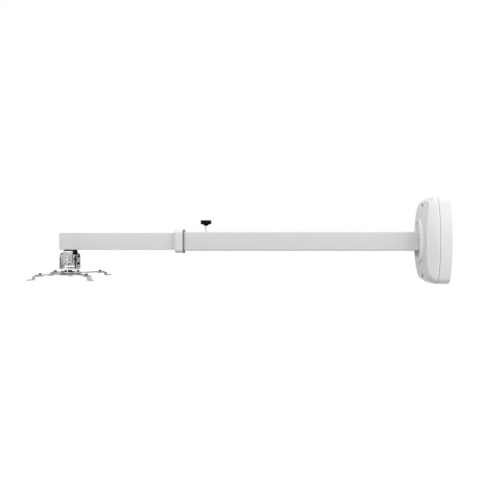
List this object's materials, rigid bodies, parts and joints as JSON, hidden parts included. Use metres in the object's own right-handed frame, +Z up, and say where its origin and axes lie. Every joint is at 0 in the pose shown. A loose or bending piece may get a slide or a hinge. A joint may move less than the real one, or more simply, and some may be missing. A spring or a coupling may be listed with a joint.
{
  "type": "projector mount",
  "caption": "Wall-mounted telescopic arm for a short-throw projector, with a plastic wall cover, a clamped sliding tube and a tilting head with slotted spider arms.",
  "frame": {"origin": "on the wall plate's back face, level with the arm's axis", "axes": "+X into the wall, +Z up, the arm runs along -X"},
  "size_m": [1.3023, 0.2485, 0.274],
  "materials": {
    "arm_paint": "light grey powder coat, satin",
    "foot_paint": "light grey powder coat, satin",
    "cover_plastic": "white moulded, fine texture",
    "collar_plastic": "white moulded, satin",
    "black_rubber": "matt black",
    "black_plastic": "black moulded",
    "zinc": "bright zinc plated",
    "dark_steel": "black oxide",
    "steel": "grey primer"
  },
  "bodies": {
    "wall_end": {"wall_plate": "steel", "rear_cover": "cover_plastic", "front_cover": "cover_plastic", "cover_screw_upper": "dark_steel", "cover_screw_lower": "dark_steel", "cover_standoff_upper": "steel", "cover_standoff_lower": "steel", "arm_flange": "steel", "flange_bolt_1": "zinc", "flange_bolt_2": "zinc", "flange_bolt_3": "zinc", "flange_bolt_4": "zinc", "outer_tube": "arm_paint", "collar": "collar_plastic", "collar_gasket": "black_rubber"},
    "clamp": {"clamp_knob": "black_plastic", "clamp_stud": "zinc"},
    "slider": {"inner_tube": "arm_paint", "end_cap": "collar_plastic", "backing_plate": "steel", "swivel_nut": "zinc", "swivel_disc": "black_rubber", "swivel_bolt": "zinc"},
    "swivel": {"upper_yoke": "zinc", "pitch_pivot_front": "zinc", "pitch_pivot_back": "zinc"},
    "tilt": {"tilt_frame": "zinc", "pitch_lock_front": "zinc", "pitch_lock_back": "zinc", "roll_pivot_left": "dark_steel", "roll_pivot_right": "dark_steel", "roll_lock_left": "dark_steel", "roll_lock_right": "dark_steel"},
    "cradle": {"lower_yoke": "zinc", "hub_spacer": "black_plastic", "hub_top_plate": "zinc", "hub_low_plate": "zinc", "hub_bolt": "zinc", "hub_nut": "zinc", "arm_screw_front_left": "dark_steel", "arm_screw_back_right": "dark_steel", "arm_screw_front_right": "dark_steel", "arm_screw_back_left": "dark_steel"},
    "adjuster": {"adjuster_knob": "black_plastic", "adjuster_screw": "dark_steel"},
    "traveller": {"adjuster_traveller": "zinc"},
    "arm_front_left": {"arm_front_left": "zinc"},
    "foot_front_left": {"foot_front_left": "foot_paint", "foot_screw_front_left": "zinc"},
    "arm_back_right": {"arm_back_right": "zinc"},
    "foot_back_right": {"foot_back_right": "foot_paint", "foot_screw_back_right": "zinc"},
    "arm_front_right": {"arm_front_right": "zinc"},
    "foot_front_right": {"foot_front_right": "foot_paint", "foot_screw_front_right": "zinc"},
    "arm_back_left": {"arm_back_left": "zinc"},
    "foot_back_left": {"foot_back_left": "foot_paint", "foot_screw_back_left": "zinc"}
  },
  "joints": [
    {"name": "arm_extend", "type": "slide", "parent": "wall_end", "child": "slider", "axis": [-1, 0, 0], "range_m": [-0.28, 0.2]},
    {"name": "clamp_turn", "type": "hinge", "parent": "wall_end", "child": "clamp", "pos_m": [-0.762, 0, 0.03], "axis": [0, 0, 1], "continuous": true},
    {"name": "head_swivel", "type": "hinge", "parent": "slider", "child": "swivel", "pos_m": [-1.1976, 0, -0.027], "axis": [0, 0, 1], "range_deg": [-180, 180]},
    {"name": "head_pitch", "type": "hinge", "parent": "swivel", "child": "tilt", "pos_m": [-1.1976, 0, -0.055], "axis": [0, 1, 0], "range_deg": [-12, 12]},
    {"name": "head_roll", "type": "hinge", "parent": "tilt", "child": "cradle", "pos_m": [-1.1976, 0, -0.0464], "axis": [1, 0, 0], "range_deg": [-12, 12]},
    {"name": "adjuster_turn", "type": "hinge", "parent": "cradle", "child": "adjuster", "pos_m": [-1.1701, -0.03, -0.0425], "axis": [0, 0, 1], "continuous": true},
    {"name": "traveller_slide", "type": "slide", "parent": "cradle", "child": "traveller", "axis": [0, 0, 1], "range_m": [-0.0066, 0.0066]},
    {"name": "swing_front_left", "type": "hinge", "parent": "cradle", "child": "arm_front_left", "pos_m": [-1.21422, -0.02254, -0.1024], "axis": [0, 0, 1], "range_deg": [-25, 25]},
    {"name": "slide_front_left", "type": "slide", "parent": "arm_front_left", "child": "foot_front_left", "axis": [-0.5934, -0.8049, 0], "range_m": [-0.022, 0.008]},
    {"name": "swing_back_right", "type": "hinge", "parent": "cradle", "child": "arm_back_right", "pos_m": [-1.17923, 0.02113, -0.1024], "axis": [0, 0, 1], "range_deg": [-25, 25]},
    {"name": "slide_back_right", "type": "slide", "parent": "arm_back_right", "child": "foot_back_right", "axis": [0.6561, 0.7547, 0], "range_m": [-0.022, 0.008]},
    {"name": "swing_front_right", "type": "hinge", "parent": "cradle", "child": "arm_front_right", "pos_m": [-1.1793, -0.0212, -0.1024], "axis": [0, 0, 1], "range_deg": [-25, 25]},
    {"name": "slide_front_right", "type": "slide", "parent": "arm_front_right", "child": "foot_front_right", "axis": [0.6534, -0.757, 0], "range_m": [-0.022, 0.008]},
    {"name": "swing_back_left", "type": "hinge", "parent": "cradle", "child": "arm_back_left", "pos_m": [-1.21899, 0.01807, -0.1024], "axis": [0, 0, 1], "range_deg": [-25, 25]},
    {"name": "slide_back_left", "type": "slide", "parent": "arm_back_left", "child": "foot_back_left", "axis": [-0.7638, 0.6455, 0], "range_m": [-0.022, 0.008]}
  ],
  "couplings": [
    {"joint": "traveller_slide", "follows": "head_roll", "m_per_rad": 0.03}
  ]
}
